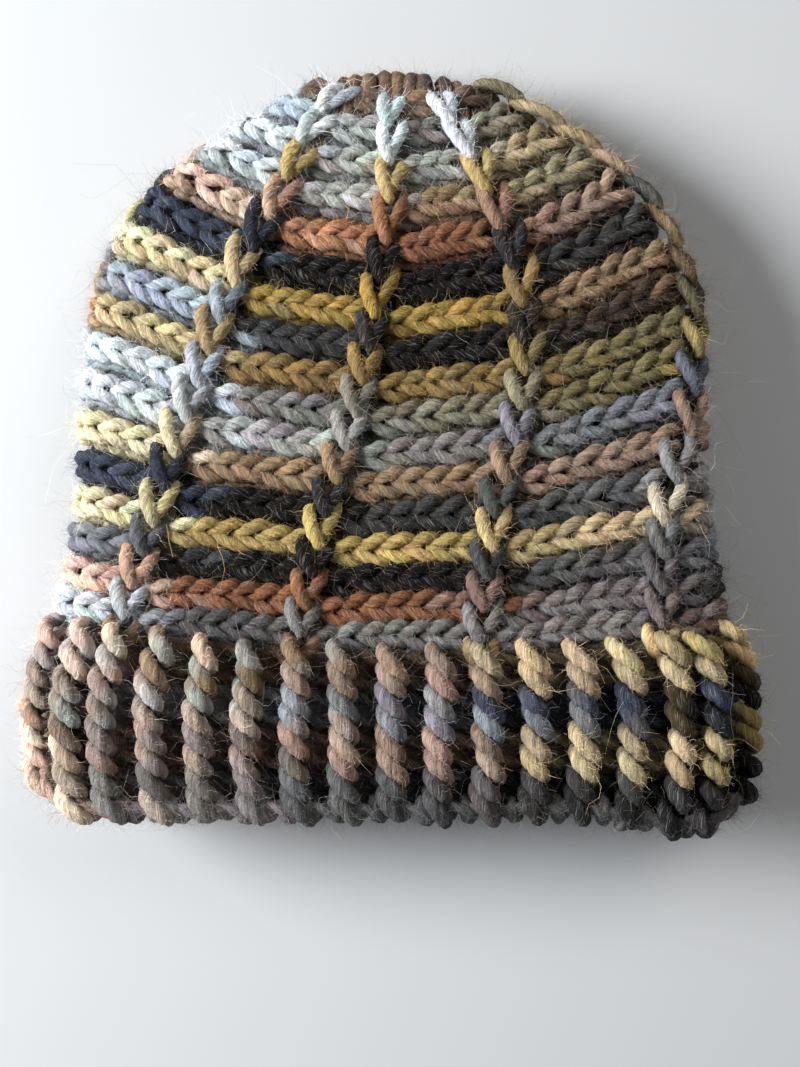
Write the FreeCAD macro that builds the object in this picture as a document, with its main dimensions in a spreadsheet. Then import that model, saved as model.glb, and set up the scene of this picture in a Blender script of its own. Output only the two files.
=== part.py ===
"""A crocheted beanie hat lying flat on a table, as its rounds of stitches.

Millimetres.  +X runs across the hat along its brim, +Y runs from the mouth of the hat to its
crown, +Z points up from the table.  The origin is the centre of the hat's footprint, on the table.

The hat is a flat tube of thick fabric, closed at the crown.  Its body is cut into the rounds that
it was worked in.  Eight raised columns of post stitches stand on the body.  The brim is a separate,
wider ring of ribbing that travels up over the body when it is turned up.
"""

import FreeCAD, Part
import Sketcher
import os
from math import atan2, pi, radians

doc = FreeCAD.newDocument("beanie")
V = FreeCAD.Vector

# ---------------------------------------------------------------- driving dimensions (mm)

DIMENSIONS = {
    # the whole hat
    "mouth_line": -113,           # Y of the mouth edge; the crown ends as far the other way
    "middle_height": 22.5,        # height of the middle layer between front and back, at the brim
    "gap": 0.2,                   # clearance left between neighbouring pieces
    # the tube of the body
    "body_foot": 40,              # from the mouth edge to where the body tube begins, inside the brim
    "shoulder": 125,              # from the mouth edge to where the crown starts to narrow
    "crown_reach": 102.5,           # from the shoulder to the tip of the crown
    "foot_half_width": 97,
    "shoulder_half_width": 93.5,
    "half_thickness": 11.8,
    "crown_drop": 12.5,           # how far the middle layer sinks towards the table at the crown
    "fabric": 7,                  # thickness of the fabric
    # the rounds of stitches
    "first_round": 48.5,          # from the mouth edge to the first round, on the centre line
    "round_pitch": 9.7,
    "rounds": 17,                 # body and crown rounds together
    "first_round_radius": 630,    # the rounds curve a little near the brim ...
    "last_round_radius": 100,     # ... and strongly at the crown
    # raised columns
    "column_rise": 3,             # how far a column stands off the fabric
    "column_clearance": 0.4,
    "column_width": 9,
    "column_top": 102,            # Y of the columns' upper end
    "split_height": 12,           # a height between the front and back layers at every Y
    "fold_column_inset": 20,      # fold columns exist only beyond this X
    # brim
    "brim_inner_half_width": 101,
    "brim_inner_half_height": 15.5,
    "ring_half_width": 108.5,
    "ring_half_height": 20,
    "rib_half_width": 111.5,
    "rib_half_height": 23.2,
    "brim_edge_radius": 3.5,
    "brim_edge_half_width": 105.5,
    "brim_edge_half_height": 19,
    "brim_round_pitch": 10.3,
    "rib_width": 7.5,
    "rib_pitch": 14.3,
    "side_rib_width": 6,
    "side_rib_pitch": 9,
}

sheet = doc.addObject("Spreadsheet::Sheet", "Sheet")
for row, (alias, value) in enumerate(DIMENSIONS.items(), start=1):
    sheet.set(f"A{row}", alias)
    sheet.set(f"B{row}", str(value))
    sheet.setAlias(f"B{row}", alias)
doc.recompute()

ROUNDS = DIMENSIONS["rounds"]
BODY_ROUNDS = 13
BRIM_ROUNDS = 4
CROWN_POWER = 0.55                # the crown's outline: half width = (1 - t^2) ^ power
THICKNESS_POWER = 0.2             # the crown thins out in the same way, but only near its tip
TUBE_STATIONS = (0, 1 / 3, 2 / 3)  # from the foot of the body to its shoulder
CROWN_STATIONS = (0, 0.3, 0.5, 0.65, 0.78, 0.88, 0.95, 0.985)
CAVITY_STATIONS = (0, 0.3, 0.5, 0.65, 0.78, 0.85)
CUTTER_HEIGHT = 120               # tools that cut through the whole hat are this tall

# the raised columns of the front: X at the foot, X at the top, radius of the bend, side it bows to
FRONT_COLUMNS = ((-78, -12, 425, -1), (-24, -3, 900, 1), (27, 8, 182, 1))


def number(text):
    """The present value of an expression in the sheet's names."""
    return float(sheet.evalExpression(text))


def bind(sketch, name, constraint, text):
    """Add a dimension to a sketch and tie it to an expression."""
    index = sketch.addConstraint(constraint)
    sketch.renameConstraint(index, name)
    sketch.setExpression(f"Constraints.{name}", text)


# ---------------------------------------------------------------- flat tubes from slot sections


def slot_section(name, half_width, half_height, along, height):
    """A slot-shaped outline standing across the hat: two flats joined by two half rounds."""
    end = number(f"({half_width}) - ({half_height})")
    radius = number(half_height)
    sketch = doc.addObject("Sketcher::SketchObject", name)
    turn = FreeCAD.Rotation(V(1, 0, 0), 90)
    sketch.Placement = FreeCAD.Placement(V(0, number(along), number(height)), turn)
    sketch.setExpression("Placement.Base.y", along)
    sketch.setExpression("Placement.Base.z", height)
    right = Part.Circle(V(end, 0, 0), V(0, 0, 1), radius)
    left = Part.Circle(V(-end, 0, 0), V(0, 0, 1), radius)
    sketch.addGeometry(Part.ArcOfCircle(right, radians(-90), radians(90)))
    sketch.addGeometry(Part.LineSegment(V(end, radius, 0), V(-end, radius, 0)))
    sketch.addGeometry(Part.ArcOfCircle(left, radians(90), radians(270)))
    sketch.addGeometry(Part.LineSegment(V(-end, -radius, 0), V(end, -radius, 0)))
    for piece in range(4):
        sketch.addConstraint(Sketcher.Constraint("Tangent", piece, 2, (piece + 1) % 4, 1))
    sketch.addConstraint(Sketcher.Constraint("Symmetric", 0, 3, 2, 3, -1, 1))
    sketch.addConstraint(Sketcher.Constraint("PointOnObject", 0, 3, -1))
    sketch.addConstraint(Sketcher.Constraint("Equal", 0, 2))
    bind(sketch, "end_round", Sketcher.Constraint("Radius", 0, radius), half_height)
    bind(sketch, "centre", Sketcher.Constraint("DistanceX", -1, 1, 0, 3, end),
         f"({half_width}) - ({half_height})")
    return sketch


def loft(name, sections):
    """A solid tube through a row of sections."""
    tube = doc.addObject("Part::Loft", name)
    tube.Sections = sections
    tube.Solid = True
    return tube


def body_tube(name, grow, stations):
    """The body and crown of the hat, grown outwards by the expression grow."""
    sections = []
    for index, share in enumerate(TUBE_STATIONS):
        sections.append(
            slot_section(
                f"{name}_tube_{index}",
                f"Sheet.foot_half_width * (1 - {share}) + Sheet.shoulder_half_width * {share}"
                f" + ({grow})",
                f"Sheet.half_thickness + ({grow})",
                f"Sheet.mouth_line + Sheet.body_foot * (1 - {share}) + Sheet.shoulder * {share}",
                "Sheet.middle_height",
            )
        )
    for index, t in enumerate(stations):
        sections.append(
            slot_section(
                f"{name}_crown_{index}",
                f"Sheet.shoulder_half_width * (1 - {t}^2)^{CROWN_POWER} + ({grow})",
                f"Sheet.half_thickness * (1 - {t}^2)^{THICKNESS_POWER} + ({grow})",
                f"Sheet.mouth_line + Sheet.shoulder + Sheet.crown_reach * {t}",
                f"Sheet.middle_height - Sheet.crown_drop * {t}^2",
            )
        )
    return loft(name, sections)


def brim_tube(name, half_width, half_height, barrel):
    """A tube for the brim; barrel lists how far it draws in at each distance from the mouth."""
    sections = []
    for index, (along, draw_in) in enumerate(barrel):
        sections.append(
            slot_section(
                f"{name}_{index}",
                f"{half_width} - {draw_in}",
                f"{half_height} - {draw_in / 2}",
                f"Sheet.mouth_line + {along}",
                "Sheet.middle_height",
            )
        )
    return loft(name, sections)


def cut(name, base, tool):
    result = doc.addObject("Part::Cut", name)
    result.Base = base
    result.Tool = tool
    return result


def common(name, base, tool):
    result = doc.addObject("Part::Common", name)
    result.Base = base
    result.Tool = tool
    return result


# ---------------------------------------------------------------- tools that part the rounds


def sketch_in(body, name, plane):
    """A sketch on one of the body's own origin planes."""
    sketch = body.newObject("Sketcher::SketchObject", name)
    base = [item for item in body.Origin.OriginFeatures if item.Role == plane][0]
    sketch.AttachmentSupport = [(base, "")]
    sketch.MapMode = "FlatFace"
    return sketch


def round_radius(index):
    """Radius of the circle below round number index: the curvature grows evenly up the hat."""
    share = index / ROUNDS
    return (
        f"1 / (1 / Sheet.first_round_radius + {share}"
        " * (1 / Sheet.last_round_radius - 1 / Sheet.first_round_radius))"
    )


def round_circle(sketch, geometry, index, shift):
    """The circle that lies below round number index, grown by shift."""
    radius = f"{round_radius(index)} + ({shift})"
    centre = (
        f"Sheet.mouth_line + Sheet.first_round + Sheet.round_pitch * {index}"
        f" + {round_radius(index)}"
    )
    sketch.addGeometry(Part.Circle(V(0, number(centre), 0), V(0, 0, 1), number(radius)))
    sketch.addConstraint(Sketcher.Constraint("PointOnObject", geometry, 3, -2))
    bind(sketch, f"radius_{index}", Sketcher.Constraint("Radius", geometry, number(radius)), radius)
    bind(sketch, f"centre_{index}",
         Sketcher.Constraint("DistanceY", -1, 1, geometry, 3, number(centre)), centre)


def through_pad(body, sketch):
    """Pad a plan outline up and down through the whole hat."""
    pad = body.newObject("PartDesign::Pad", f"{body.Name}_pad")
    pad.Profile = sketch
    pad.Midplane = True
    pad.Length = CUTTER_HEIGHT
    body.Tip = pad
    return body


def round_cutter(name, lower, upper, shift):
    """Everything between the circle below round lower and the circle below round upper."""
    body = doc.addObject("PartDesign::Body", name)
    sketch = sketch_in(body, f"{name}_plan", "XY_Plane")
    round_circle(sketch, 0, lower, f"-({shift})")
    if upper is not None:
        round_circle(sketch, 1, upper, shift)
    return through_pad(body, sketch)


# ---------------------------------------------------------------- body and crown

fabric_outside = body_tube("fabric_outside", "0", CROWN_STATIONS)
fabric_inside = body_tube("fabric_inside", "-Sheet.fabric", CAVITY_STATIONS)
body_shell = cut("body_shell", fabric_outside, fabric_inside)
doc.recompute()

pieces = []
for index in range(ROUNDS):
    if index < BODY_ROUNDS:
        label = f"body_round_{index + 1:02d}"
    else:
        label = f"crown_round_{index + 1 - BODY_ROUNDS}"
    cutter = round_cutter(f"cutter_{index}", index, index + 1, "Sheet.gap / 2")
    pieces.append(common(label, body_shell, cutter))

closing_cutter = round_cutter("closing_cutter", ROUNDS, None, "Sheet.gap / 2")
pieces.append(common("crown_closing", body_shell, closing_cutter))
doc.recompute()

# ---------------------------------------------------------------- raised columns

column_outside = body_tube(
    "column_outside", "Sheet.column_clearance + Sheet.column_rise", CROWN_STATIONS
)
column_inside = body_tube("column_inside", "Sheet.column_clearance", CROWN_STATIONS)
column_shell = cut("column_shell", column_outside, column_inside)
COLUMN_FOOT = "Sheet.mouth_line + Sheet.first_round + Sheet.round_pitch * 0.9"


def corner(sketch, name, geometry, x, y):
    """Hold the start point of a sketch element at two expressions."""
    for axis, text in (("X", x), ("Y", y)):
        value = number(text)
        constraint = Sketcher.Constraint(f"Distance{axis}", -1, 1, geometry, 1, value)
        bind(sketch, f"{name}_{axis.lower()}", constraint, text)


def bowed_edge(foot, top, radius, side):
    """An arc between two points that bows towards +X (side 1) or -X (side -1)."""
    chord = top - foot
    across = V(chord.y, -chord.x, 0)
    across.normalize()
    reach = (radius * radius - chord.Length * chord.Length / 4) ** 0.5
    centre = (foot + top) * 0.5 - across * reach * side
    angles = [atan2(point.y - centre.y, point.x - centre.x) for point in (foot, top)]
    if side < 0:
        # a sketch arc always runs anticlockwise, so this one runs from the top to the foot
        angles = [angles[1], angles[0] + (2 * pi if angles[0] < angles[1] else 0)]
    return Part.ArcOfCircle(Part.Circle(centre, V(0, 0, 1), radius), *angles)


def plan_column(label, foot_x, top_x, radius, side, front):
    """A raised column on the front or the back layer: a bowed strip in plan picks it out."""
    body = doc.addObject("PartDesign::Body", f"{label}_strip")
    sketch = sketch_in(body, f"{label}_plan", "XY_Plane")
    sketch.setExpression("AttachmentOffset.Base.z", "Sheet.split_height")
    half = "Sheet.column_width / 2"
    foot_left = (f"{foot_x} - {half}", COLUMN_FOOT)
    foot_right = (f"{foot_x} + {half}", COLUMN_FOOT)
    top_left = (f"{top_x} - {half}", "Sheet.column_top")
    top_right = (f"{top_x} + {half}", "Sheet.column_top")

    def point(place):
        return V(number(place[0]), number(place[1]), 0)

    sketch.addGeometry(bowed_edge(point(foot_left), point(top_left), radius, side))
    sketch.addGeometry(Part.LineSegment(point(top_left), point(top_right)))
    sketch.addGeometry(bowed_edge(point(foot_right), point(top_right), radius, side))
    sketch.addGeometry(Part.LineSegment(point(foot_left), point(foot_right)))
    at_foot, at_top = (1, 2) if side > 0 else (2, 1)
    joins = ((1, 1, 0, at_top), (1, 2, 2, at_top), (3, 1, 0, at_foot), (3, 2, 2, at_foot))
    for line, line_end, arc, arc_end in joins:
        sketch.addConstraint(Sketcher.Constraint("Coincident", line, line_end, arc, arc_end))
    width = number("Sheet.column_width")
    for name, line, place in (("top", 1, top_left), ("foot", 3, foot_left)):
        corner(sketch, name, line, *place)
        sketch.addConstraint(Sketcher.Constraint("Horizontal", line))
        across = Sketcher.Constraint("DistanceX", line, 1, line, 2, width)
        bind(sketch, f"{name}_width", across, "Sheet.column_width")
    for arc in (0, 2):
        sketch.addConstraint(Sketcher.Constraint("Radius", arc, radius))
    pad = body.newObject("PartDesign::Pad", f"{label}_pad")
    pad.Profile = sketch
    pad.Length = CUTTER_HEIGHT / 2
    pad.Reversed = not front
    body.Tip = pad
    return common(label, column_shell, body)


def fold_column(label, side):
    """A raised column that runs up the left (side -1) or right (side 1) fold of the hat."""
    body = doc.addObject("PartDesign::Body", f"{label}_strip")
    sketch = sketch_in(body, f"{label}_side_view", "YZ_Plane")
    sketch.setExpression("AttachmentOffset.Base.z", f"Sheet.fold_column_inset * {side}")
    shoulder = "Sheet.mouth_line + Sheet.shoulder"
    half = "Sheet.column_width / 2"
    share = f"((Sheet.column_top - ({shoulder})) / Sheet.crown_reach)"
    sunk = f"Sheet.middle_height - Sheet.crown_drop * {share}^2"
    corners = (
        (COLUMN_FOOT, f"Sheet.middle_height - {half}"),
        (shoulder, f"Sheet.middle_height - {half}"),
        ("Sheet.column_top", f"{sunk} - {half}"),
        ("Sheet.column_top", f"{sunk} + {half}"),
        (shoulder, f"Sheet.middle_height + {half}"),
        (COLUMN_FOOT, f"Sheet.middle_height + {half}"),
    )
    for index, (x, y) in enumerate(corners):
        x_next, y_next = corners[(index + 1) % len(corners)]
        start = V(number(x), number(y), 0)
        end = V(number(x_next), number(y_next), 0)
        sketch.addGeometry(Part.LineSegment(start, end))
    for index, (x, y) in enumerate(corners):
        nearby = (index + 1) % len(corners)
        sketch.addConstraint(Sketcher.Constraint("Coincident", index, 2, nearby, 1))
        corner(sketch, f"corner_{index}", index, x, y)
    pad = body.newObject("PartDesign::Pad", f"{label}_pad")
    pad.Profile = sketch
    pad.Length = CUTTER_HEIGHT
    pad.Reversed = side < 0
    body.Tip = pad
    return common(label, column_shell, body)


pieces.append(fold_column("column_left_fold", -1))
pieces.append(fold_column("column_right_fold", 1))
for index, (foot_x, top_x, radius, side) in enumerate(FRONT_COLUMNS, start=1):
    pieces.append(plan_column(f"column_front_{index}", foot_x, top_x, radius, side, True))
    # the back is the front turned about the hat's long axis
    pieces.append(plan_column(f"column_back_{index}", -foot_x, -top_x, radius, -side, False))
doc.recompute()

# ---------------------------------------------------------------- brim

# how far the brim draws in from its widest line, at these distances from the mouth edge
BARREL = ((0, 4.5), (12, 1), (24, 0), (40, 1.8), (62, 6))
STRAIGHT = ((-2, 0), (66, 0))

brim_inside = brim_tube(
    "brim_inside", "Sheet.brim_inner_half_width", "Sheet.brim_inner_half_height", STRAIGHT
)
ring_outside = brim_tube("ring_outside", "Sheet.ring_half_width", "Sheet.ring_half_height", BARREL)
ring_shell = cut("ring_shell", ring_outside, brim_inside)


def rectangle(sketch, x, y, width, height):
    """A rectangle from its lower left corner, every size tied to an expression."""
    left, low = number(x), number(y)
    wide, tall = number(width), number(height)
    right, high = left + wide, low + tall
    points = (V(left, low, 0), V(right, low, 0), V(right, high, 0), V(left, high, 0))
    for index in range(4):
        sketch.addGeometry(Part.LineSegment(points[index], points[(index + 1) % 4]))
        direction = "Horizontal" if index % 2 == 0 else "Vertical"
        sketch.addConstraint(Sketcher.Constraint(direction, index))
    for index in range(4):
        sketch.addConstraint(Sketcher.Constraint("Coincident", index, 2, (index + 1) % 4, 1))
    corner(sketch, "corner", 0, x, y)
    bind(sketch, "wide", Sketcher.Constraint("DistanceX", 0, 1, 0, 2, wide), width)
    bind(sketch, "tall", Sketcher.Constraint("DistanceY", 1, 1, 1, 2, tall), height)


def brim_band(name, low, high):
    """A band across the whole hat between two distances from the mouth edge."""
    body = doc.addObject("PartDesign::Body", name)
    sketch = sketch_in(body, f"{name}_plan", "XY_Plane")
    rectangle(
        sketch,
        "-1.5 * Sheet.rib_half_width",
        f"Sheet.mouth_line + {low}",
        "3 * Sheet.rib_half_width",
        f"({high}) - ({low})",
    )
    return through_pad(body, sketch)


EDGE_TOP = "2 * Sheet.brim_edge_radius"
above_brim = round_cutter("above_brim", 0, None, "-Sheet.gap / 2")
for index in range(BRIM_ROUNDS):
    low = f"{EDGE_TOP} + Sheet.gap + Sheet.brim_round_pitch * {index}"
    high = f"{low} + Sheet.brim_round_pitch - Sheet.gap"
    if index == BRIM_ROUNDS - 1:
        high = f"{low} + 2 * Sheet.brim_round_pitch"
    band = brim_band(f"brim_band_{index + 1}", low, high)
    if index == BRIM_ROUNDS - 1:
        # the top round of the brim follows the curve of the first body round
        band = cut("brim_top_band", band, above_brim)
    pieces.append(common(f"brim_round_{index + 1}", ring_shell, band))
doc.recompute()

# the foundation round: a thick cord that runs round the mouth
edge_body = doc.addObject("PartDesign::Body", "edge_cord")
edge_path = sketch_in(edge_body, "edge_path", "XZ_Plane")
edge_end = "Sheet.brim_edge_half_width - Sheet.brim_edge_half_height"
end = number(edge_end)
radius = number("Sheet.brim_edge_half_height")
middle = number("Sheet.middle_height")
edge_path.addGeometry(Part.ArcOfCircle(
    Part.Circle(V(end, middle, 0), V(0, 0, 1), radius), radians(-90), radians(90)))
edge_path.addGeometry(Part.LineSegment(V(end, middle + radius, 0), V(-end, middle + radius, 0)))
edge_path.addGeometry(Part.ArcOfCircle(
    Part.Circle(V(-end, middle, 0), V(0, 0, 1), radius), radians(90), radians(270)))
edge_path.addGeometry(Part.LineSegment(V(-end, middle - radius, 0), V(end, middle - radius, 0)))
for index in range(4):
    edge_path.addConstraint(Sketcher.Constraint("Tangent", index, 2, (index + 1) % 4, 1))
edge_path.addConstraint(Sketcher.Constraint("Symmetric", 0, 3, 2, 3, -2))
edge_path.addConstraint(Sketcher.Constraint("Equal", 0, 2))
bind(edge_path, "end_round", Sketcher.Constraint("Radius", 0, radius), "Sheet.brim_edge_half_height")
bind(edge_path, "centre", Sketcher.Constraint("DistanceX", -1, 1, 0, 3, end), edge_end)
bind(edge_path, "height", Sketcher.Constraint("DistanceY", -1, 1, 0, 3, middle),
     "Sheet.middle_height")
edge_path.setExpression(
    "AttachmentOffset.Base.z", "-(Sheet.mouth_line + Sheet.brim_edge_radius)"
)
edge_profile = sketch_in(edge_body, "edge_profile", "YZ_Plane")
cord = number("Sheet.brim_edge_radius")
cord_y = "Sheet.mouth_line + Sheet.brim_edge_radius"
cord_z = "Sheet.middle_height + Sheet.brim_edge_half_height"
edge_profile.addGeometry(Part.Circle(V(number(cord_y), number(cord_z), 0), V(0, 0, 1), cord))
bind(edge_profile, "cord", Sketcher.Constraint("Radius", 0, cord), "Sheet.brim_edge_radius")
bind(edge_profile, "cord_y",
     Sketcher.Constraint("DistanceX", -1, 1, 0, 3, number(cord_y)), cord_y)
bind(edge_profile, "cord_z",
     Sketcher.Constraint("DistanceY", -1, 1, 0, 3, number(cord_z)), cord_z)
doc.recompute()
edge_pipe = edge_body.newObject("PartDesign::AdditivePipe", "edge_pipe")
edge_pipe.Profile = edge_profile
edge_pipe.Spine = (edge_path, ["Edge1", "Edge2", "Edge3", "Edge4"])
edge_body.Tip = edge_pipe
edge_body.Label = "brim_edge"
pieces.append(edge_body)
doc.recompute()

# the ribs: upright and level combs pick them out of a shell that surrounds the rings
rib_outside = brim_tube("rib_outside", "Sheet.rib_half_width", "Sheet.rib_half_height", BARREL)
rib_inside = brim_tube(
    "rib_inside", "Sheet.ring_half_width + Sheet.gap", "Sheet.ring_half_height + Sheet.gap", BARREL
)
rib_shell = cut("rib_shell", rib_outside, rib_inside)

RIBS_PER_FACE = 13
RIBS_PER_FOLD = 4
RIB_LOW = f"{EDGE_TOP} + Sheet.gap"
RIB_HIGH = "Sheet.first_round + Sheet.round_pitch"


def rib_comb(name, count, plane, x, y, width, height, pitch, role):
    """A row of bars across the brim, cut out of one bar and its pattern."""
    body = doc.addObject("PartDesign::Body", name)
    sketch = sketch_in(body, f"{name}_bar", plane)
    rectangle(sketch, x, y, width, height)
    pad = body.newObject("PartDesign::Pad", f"{name}_pad")
    pad.Profile = sketch
    pad.Midplane = True
    pad.Length = 3 * CUTTER_HEIGHT
    body.Tip = pad
    doc.recompute()
    pattern = body.newObject("PartDesign::LinearPattern", f"{name}_pattern")
    pattern.Originals = [pad]
    axis = [item for item in body.Origin.OriginFeatures if item.Role == role][0]
    pattern.Direction = (axis, [""])
    pattern.Mode = "Spacing" if "Spacing" in pattern.getEnumerationsOfProperty("Mode") else "length"
    pattern.Occurrences = count
    if pattern.Mode == "Spacing":
        pattern.setExpression("Offset", pitch)
    else:
        pattern.setExpression("Length", f"({pitch}) * {count - 1}")
    body.Tip = pattern
    return body


upright_comb = rib_comb(
    "upright_comb",
    RIBS_PER_FACE,
    "XY_Plane",
    f"-Sheet.rib_pitch * {(RIBS_PER_FACE - 1) / 2} - Sheet.rib_width / 2",
    f"Sheet.mouth_line + {RIB_LOW}",
    "Sheet.rib_width",
    f"{RIB_HIGH} - ({RIB_LOW})",
    "Sheet.rib_pitch",
    "X_Axis",
)
level_comb = rib_comb(
    "level_comb",
    RIBS_PER_FOLD,
    "YZ_Plane",
    f"Sheet.mouth_line + {RIB_LOW}",
    f"Sheet.middle_height - Sheet.side_rib_pitch * {(RIBS_PER_FOLD - 1) / 2}"
    " - Sheet.side_rib_width / 2",
    f"{RIB_HIGH} - ({RIB_LOW})",
    "Sheet.side_rib_width",
    "Sheet.side_rib_pitch",
    "Z_Axis",
)
combs = doc.addObject("Part::MultiFuse", "combs")
combs.Shapes = [upright_comb, level_comb]
all_ribs = common("all_ribs", rib_shell, combs)
short_ribs = cut("short_ribs", all_ribs, above_brim)

# the ribs under the brim are pressed flat by the table
above_table = doc.addObject("Part::Box", "above_table")
above_table.setExpression("Length", "3 * Sheet.rib_half_width")
above_table.setExpression("Width", "-2 * Sheet.mouth_line")
above_table.Height = CUTTER_HEIGHT
above_table.setExpression("Placement.Base.x", "-1.5 * Sheet.rib_half_width")
above_table.setExpression("Placement.Base.y", "Sheet.mouth_line")
pieces.append(common("brim_ribs", short_ribs, above_table))
doc.recompute()

# ---------------------------------------------------------------- checks and files

for item in doc.Objects:
    if "Invalid" in item.State or "Error" in item.State:
        raise RuntimeError(f"{item.Name} is in state {item.State}")

os.makedirs("parts", exist_ok=True)
for piece in pieces:
    if piece.Shape.isNull() or not piece.Shape.isValid():
        raise RuntimeError(f"{piece.Label} has no valid shape")
    piece.Shape.exportStep(f"parts/{piece.Label}.step")
    print(piece.Label, len(piece.Shape.Solids), round(piece.Shape.Volume), piece.Shape.BoundBox)
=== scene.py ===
"""Yarn-level looks for a crocheted beanie hat lying flat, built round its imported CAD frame.

Every round of stitches is made of real strands: each stitch is a pair of plied yarn tubes laid on
the surface of the hat, and the raised columns and the ribs of the brim are chains of thicker
strands that stand on it.  Loose fibres grow out of the strands.  Each piece takes the place of the
plain CAD solid of the same round, column or rib group and rides on the same body.

The script works in millimetres in the frame's own axes: +X across the hat, +Y from the mouth to
the crown, +Z up from the table.
"""

from math import pi, radians, tan

import bpy
import numpy as np
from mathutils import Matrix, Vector


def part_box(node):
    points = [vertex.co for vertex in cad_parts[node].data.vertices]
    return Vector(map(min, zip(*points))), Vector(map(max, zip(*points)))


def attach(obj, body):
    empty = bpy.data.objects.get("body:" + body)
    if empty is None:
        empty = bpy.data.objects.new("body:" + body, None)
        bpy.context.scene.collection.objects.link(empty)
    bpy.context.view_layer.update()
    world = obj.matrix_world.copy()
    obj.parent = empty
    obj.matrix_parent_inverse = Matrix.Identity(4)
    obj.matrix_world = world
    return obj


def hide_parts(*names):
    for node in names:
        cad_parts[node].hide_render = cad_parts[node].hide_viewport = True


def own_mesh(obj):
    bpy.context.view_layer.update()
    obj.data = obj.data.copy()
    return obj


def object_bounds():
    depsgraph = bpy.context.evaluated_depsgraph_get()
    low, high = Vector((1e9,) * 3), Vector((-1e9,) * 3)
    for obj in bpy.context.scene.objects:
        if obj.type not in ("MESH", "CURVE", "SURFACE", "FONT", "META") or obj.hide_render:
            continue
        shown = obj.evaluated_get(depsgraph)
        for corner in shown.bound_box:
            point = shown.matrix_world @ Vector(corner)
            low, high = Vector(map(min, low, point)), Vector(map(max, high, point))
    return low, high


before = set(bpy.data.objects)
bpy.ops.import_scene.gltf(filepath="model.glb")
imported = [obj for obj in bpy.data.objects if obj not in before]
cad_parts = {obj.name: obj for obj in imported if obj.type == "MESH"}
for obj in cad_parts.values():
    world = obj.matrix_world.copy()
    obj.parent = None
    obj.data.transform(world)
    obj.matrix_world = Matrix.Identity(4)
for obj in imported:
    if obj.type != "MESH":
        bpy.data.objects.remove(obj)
cad_low, cad_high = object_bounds()

MM = 0.001                         # metres in a millimetre
rng = np.random.default_rng(11)    # every random draw comes from here, so each run gives the same hat

# ---------------------------------------------------------------- sizes taken from the frame

edge_low, edge_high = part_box("brim_edge")
MOUTH = edge_low.y / MM                                # Y of the mouth edge
MIDDLE = (edge_low.z + edge_high.z) / 2 / MM           # height of the middle layer at the brim
BRIM_HALF_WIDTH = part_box("brim_ribs")[1].x / MM        # over the ribs
BODY_HALF_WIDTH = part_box("body_round_03")[1].x / MM    # over the fabric, near the brim
CROWN_PLUMP = 3.5                                      # the soft crown reaches past its solid
CROWN_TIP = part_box("crown_closing")[1].y / MM - MOUTH + CROWN_PLUMP  # from the mouth edge
COLUMNS = 8                                            # raised columns round the hat
BODY_ROUNDS = 13
ROUNDS = 17                                            # of the body and the crown together
BRIM_ROUNDS = 4
ROUND_PITCH = 9.7                                      # mm between rounds that shapes are drawn for

# ---------------------------------------------------------------- smooth curves through stations


def through(*stations):
    """A smooth function through (where, value) stations that holds still beyond both ends."""
    where, value = np.array(stations, float).T
    slope = np.gradient(value, where)

    def at(x):
        x = np.clip(x, where[0], where[-1])
        i = np.clip(np.searchsorted(where, x, side="right") - 1, 0, len(where) - 2)
        span = where[i + 1] - where[i]
        t = (x - where[i]) / span
        first = (1 + 2 * t) * (1 - t) ** 2 * value[i] + t * (1 - t) ** 2 * span * slope[i]
        last = t * t * (3 - 2 * t) * value[i + 1] + t * t * (t - 1) * span * slope[i + 1]
        return first + last

    return at


def ease(x):
    """0 below 0, 1 above 1 and smooth between."""
    x = np.clip(x, 0, 1)
    return x * x * (3 - 2 * x)


# ---------------------------------------------------------------- the shape of the hat

# half width of the fabric against the distance from the mouth edge
body_width = through(
    (40, BODY_HALF_WIDTH + 5.2), (56, BODY_HALF_WIDTH + 5.0), (66, BODY_HALF_WIDTH + 3.6),
    (80, BODY_HALF_WIDTH + 1.0), (100, BODY_HALF_WIDTH - 1.0), (122, BODY_HALF_WIDTH - 1.4),
    (135, BODY_HALF_WIDTH - 2.6), (154, 91.2), (165, 88.2), (178, 82.2), (190, 73.5),
    (200, 62.5), (209, 50.0), (217, 37.5), (223, 28.0), (CROWN_TIP, 18.0),
)
body_thickness = through(
    (40, 12.0), (60, 11.6), (125, 11.4), (165, 11.0), (190, 10.2), (208, 9.2), (CROWN_TIP, 6.5)
)
body_middle = through(
    (60, MIDDLE), (125, MIDDLE - 0.2), (165, MIDDLE - 2.4), (195, MIDDLE - 5.5),
    (CROWN_TIP, MIDDLE - 9.5)
)
brim_width = through(
    (-8, BRIM_HALF_WIDTH - 10.5), (0, BRIM_HALF_WIDTH - 7.5), (14, BRIM_HALF_WIDTH - 5.0),
    (28, BRIM_HALF_WIDTH - 4.2), (44, BRIM_HALF_WIDTH - 6.8), (52, BRIM_HALF_WIDTH - 9.0),
    (62, BRIM_HALF_WIDTH - 11.0),
)
brim_thickness = through(
    (-8, 15.0), (0, 16.5), (14, 17.6), (28, 17.8), (44, 17.2), (52, 16.2), (62, 15.0)
)
crown_shift = through((140, 0.0), (190, 1.2), (CROWN_TIP, 2.5))   # the crown lies a little right
BULGE = 0.05                       # how much the flat faces of the hat swell in their middle

# centre line of each round on the front of the hat, from the mouth edge; round 0 is the brim's top
round_line = through(
    (0, 43.5), (1, 52.2), (2, 60.8), (3, 69.8), (4, 78.5), (5, 88.2), (6, 98.2), (7, 108.4),
    (8, 118.5), (9, 128.5), (10, 138.7), (11, 149.1), (12, 160.1), (13, 171.9), (14, 185.4),
    (15, 197.4), (16, 209.0), (17, 219.0), (18, 227.0)
)
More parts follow.
